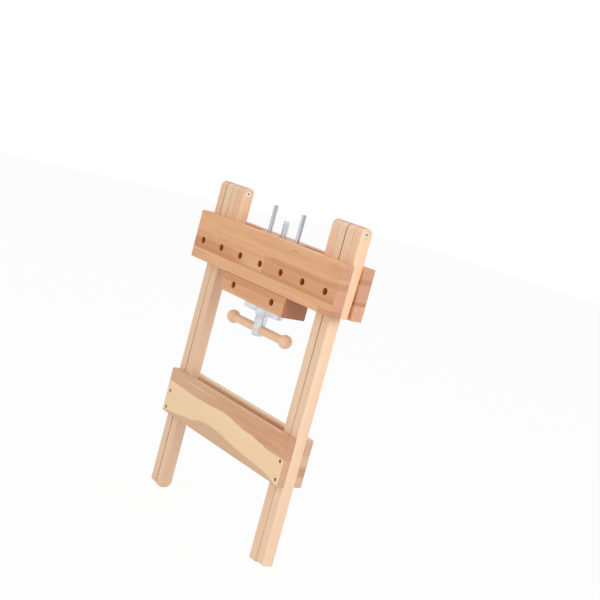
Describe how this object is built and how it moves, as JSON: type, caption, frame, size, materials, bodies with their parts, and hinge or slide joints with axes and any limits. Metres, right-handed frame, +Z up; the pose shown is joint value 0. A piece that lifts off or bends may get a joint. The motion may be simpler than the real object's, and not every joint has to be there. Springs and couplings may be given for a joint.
{
  "type": "folding workbench",
  "caption": "Folding beech workbench with scissor legs, two swinging worktop boards, a row of dog holes and a front vise with guide rods and a turned handle.",
  "frame": {"origin": "centre of the footprint on the floor, in the middle plane of the folded leg bars", "axes": "+X along the boards to the right, +Y from the front board with the vise to the rear board, +Z up the legs"},
  "size_m": [0.68, 0.105, 0.912],
  "materials": {
    "beech_bar": "satin oiled beech",
    "beech_stretcher": "satin oiled beech with heartwood",
    "beech_board": "satin oiled steamed beech, glued up from strips",
    "beech_block": "satin oiled beech",
    "turned_beech": "turned and oiled",
    "zinc_steel": "zinc plated",
    "bright_steel": "bright plated",
    "brass_nut": "machined"
  },
  "bodies": {
    "cross_pivots": {"cross_pivot_bolts": "zinc_steel", "cross_pivot_washers": "zinc_steel"},
    "outer_frame": {"left_outer_leg": "beech_bar", "right_outer_leg": "beech_bar", "front_stretcher": "beech_stretcher", "front_stretcher_screws": "zinc_steel", "outer_pivot_bolts": "zinc_steel", "outer_pivot_washers": "zinc_steel"},
    "inner_frame": {"left_inner_leg": "beech_bar", "right_inner_leg": "beech_bar", "rear_stretcher": "beech_stretcher", "rear_stretcher_screws": "zinc_steel", "inner_pivot_bolts": "zinc_steel", "inner_pivot_washers": "zinc_steel"},
    "front_top": {"front_board": "beech_board", "left_outer_arm": "beech_bar", "right_outer_arm": "beech_bar", "front_board_screws": "zinc_steel", "front_guide_block": "beech_block", "rear_guide_block": "beech_block", "guide_block_screws": "zinc_steel", "vise_nut": "brass_nut"},
    "rear_top": {"rear_board": "beech_board", "left_inner_arm": "beech_bar", "right_inner_arm": "beech_bar", "rear_board_screws": "zinc_steel"},
    "vise_jaw": {"vise_jaw": "beech_board", "left_guide_rod": "bright_steel", "right_guide_rod": "bright_steel", "vise_yoke": "bright_steel", "vise_yoke_screws": "bright_steel"},
    "vise_screw": {"vise_screw": "bright_steel", "screw_head": "bright_steel", "screw_collar": "bright_steel"},
    "vise_handle": {"vise_handle": "turned_beech", "handle_knob": "turned_beech"}
  },
  "joints": [
    {"name": "outer_frame_fold", "type": "hinge", "parent": "cross_pivots", "child": "outer_frame", "pos_m": [0, 0, 0.77], "axis": [-1, 0, 0], "range_deg": [0, 16]},
    {"name": "inner_frame_fold", "type": "hinge", "parent": "cross_pivots", "child": "inner_frame", "pos_m": [0, 0, 0.77], "axis": [1, 0, 0], "range_deg": [0, 16]},
    {"name": "front_top_swing", "type": "hinge", "parent": "outer_frame", "child": "front_top", "pos_m": [0, 0, 0.895], "axis": [-1, 0, 0], "range_deg": [0, 74.3]},
    {"name": "rear_top_swing", "type": "hinge", "parent": "inner_frame", "child": "rear_top", "pos_m": [0, 0, 0.895], "axis": [1, 0, 0], "range_deg": [0, 74.3]},
    {"name": "vise_slide", "type": "slide", "parent": "front_top", "child": "vise_jaw", "axis": [0, 0, -1], "range_m": [0, 0.1]},
    {"name": "screw_turn", "type": "hinge", "parent": "vise_jaw", "child": "vise_screw", "pos_m": [0, 0, 0.615], "axis": [0, 0, -1], "range_deg": [0, 9000]},
    {"name": "handle_slide", "type": "slide", "parent": "vise_screw", "child": "vise_handle", "axis": [1, 0, 0], "range_m": [-0.09, 0.09]}
  ],
  "couplings": [
    {"joint": "inner_frame_fold", "follows": "outer_frame_fold", "ratio": 1},
    {"joint": "front_top_swing", "follows": "outer_frame_fold", "ratio": 4.63},
    {"joint": "rear_top_swing", "follows": "outer_frame_fold", "ratio": 4.63},
    {"joint": "vise_slide", "follows": "screw_turn", "m_per_rad": 0.000636}
  ]
}
